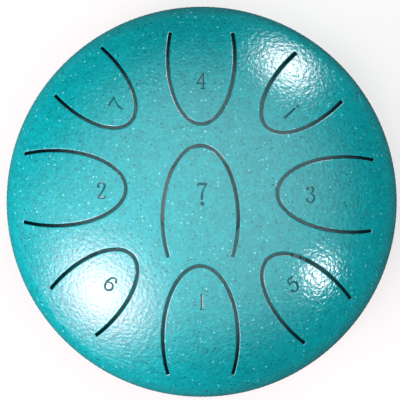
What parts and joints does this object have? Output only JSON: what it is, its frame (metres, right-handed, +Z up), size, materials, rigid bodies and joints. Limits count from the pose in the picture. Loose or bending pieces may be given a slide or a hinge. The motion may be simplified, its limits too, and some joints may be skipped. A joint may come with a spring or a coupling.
{
  "type": "steel tongue drum",
  "caption": "Small round steel tongue drum: two welded domed shells, slotted tongues numbered in scale order, sound port below, rubber feet.",
  "frame": {"origin": "on the table plane, below the centre of the drum", "axes": "+Z up, +Y away from the player, towards the tongue numbered 4, +X to the player's right"},
  "size_m": [0.1554, 0.1554, 0.08],
  "materials": {
    "lacquer": "glossy turquoise hammered lacquer with fine light and dark flecks",
    "weld": "ground weld bead under the same lacquer",
    "rubber": "matt moulded rubber",
    "zinc": "bright zinc plate",
    "bare_steel": "plain turned steel, blued by the weld"
  },
  "bodies": {
    "drum": {"top_shell": "lacquer", "bottom_shell": "lacquer", "seam_weld": "weld", "foot_1": "rubber", "foot_2": "rubber", "foot_3": "rubber", "foot_washer_1": "zinc", "foot_washer_2": "zinc", "foot_washer_3": "zinc", "foot_screw_1": "zinc", "foot_screw_2": "zinc", "foot_screw_3": "zinc", "foot_boss_1": "bare_steel", "foot_boss_2": "bare_steel", "foot_boss_3": "bare_steel"},
    "tongue_low_7": {"tongue_low_7": "lacquer"},
    "tongue_1": {"tongue_1": "lacquer"},
    "tongue_2": {"tongue_2": "lacquer"},
    "tongue_3": {"tongue_3": "lacquer"},
    "tongue_4": {"tongue_4": "lacquer"},
    "tongue_5": {"tongue_5": "lacquer"},
    "tongue_6": {"tongue_6": "lacquer"},
    "tongue_7": {"tongue_7": "lacquer"},
    "tongue_high_1": {"tongue_high_1": "lacquer"}
  },
  "joints": [
    {"name": "tongue_low_7_flex", "type": "hinge", "parent": "drum", "child": "tongue_low_7", "pos_m": [-0.0005, -0.02172, 0.07719], "axis": [-1, 0, 0], "range_deg": [-1, 1], "stiffness_Nm_per_rad": 42},
    {"name": "tongue_1_flex", "type": "hinge", "parent": "drum", "child": "tongue_1", "pos_m": [-0.0005, -0.06822, 0.05549], "axis": [-1, 0, 0], "range_deg": [-1, 1], "stiffness_Nm_per_rad": 42},
    {"name": "tongue_2_flex", "type": "hinge", "parent": "drum", "child": "tongue_2", "pos_m": [-0.07025, 0.00551, 0.05365], "axis": [0.0087, 1, 0], "range_deg": [-1, 1], "stiffness_Nm_per_rad": 45},
    {"name": "tongue_3_flex", "type": "hinge", "parent": "drum", "child": "tongue_3", "pos_m": [0.06746, 0.00253, 0.05605], "axis": [-0.0349, -0.9994, 0], "range_deg": [-1, 1], "stiffness_Nm_per_rad": 49},
    {"name": "tongue_4_flex", "type": "hinge", "parent": "drum", "child": "tongue_4", "pos_m": [-0.00007, 0.06682, 0.05659], "axis": [1, -0.007, 0], "range_deg": [-1, 1], "stiffness_Nm_per_rad": 45},
    {"name": "tongue_5_flex", "type": "hinge", "parent": "drum", "child": "tongue_5", "pos_m": [0.04978, -0.04717, 0.0552], "axis": [-0.7193, -0.6947, 0], "range_deg": [-1, 1], "stiffness_Nm_per_rad": 47},
    {"name": "tongue_6_flex", "type": "hinge", "parent": "drum", "child": "tongue_6", "pos_m": [-0.05078, -0.04366, 0.05647], "axis": [-0.6947, 0.7193, 0], "range_deg": [-1, 1], "stiffness_Nm_per_rad": 50},
    {"name": "tongue_7_flex", "type": "hinge", "parent": "drum", "child": "tongue_7", "pos_m": [-0.04895, 0.05168, 0.05304], "axis": [0.6947, 0.7193, 0], "range_deg": [-1, 1], "stiffness_Nm_per_rad": 55},
    {"name": "tongue_high_1_flex", "type": "hinge", "parent": "drum", "child": "tongue_high_1", "pos_m": [0.04639, 0.04939, 0.05586], "axis": [0.6884, -0.7254, 0], "range_deg": [-1, 1], "stiffness_Nm_per_rad": 56}
  ]
}
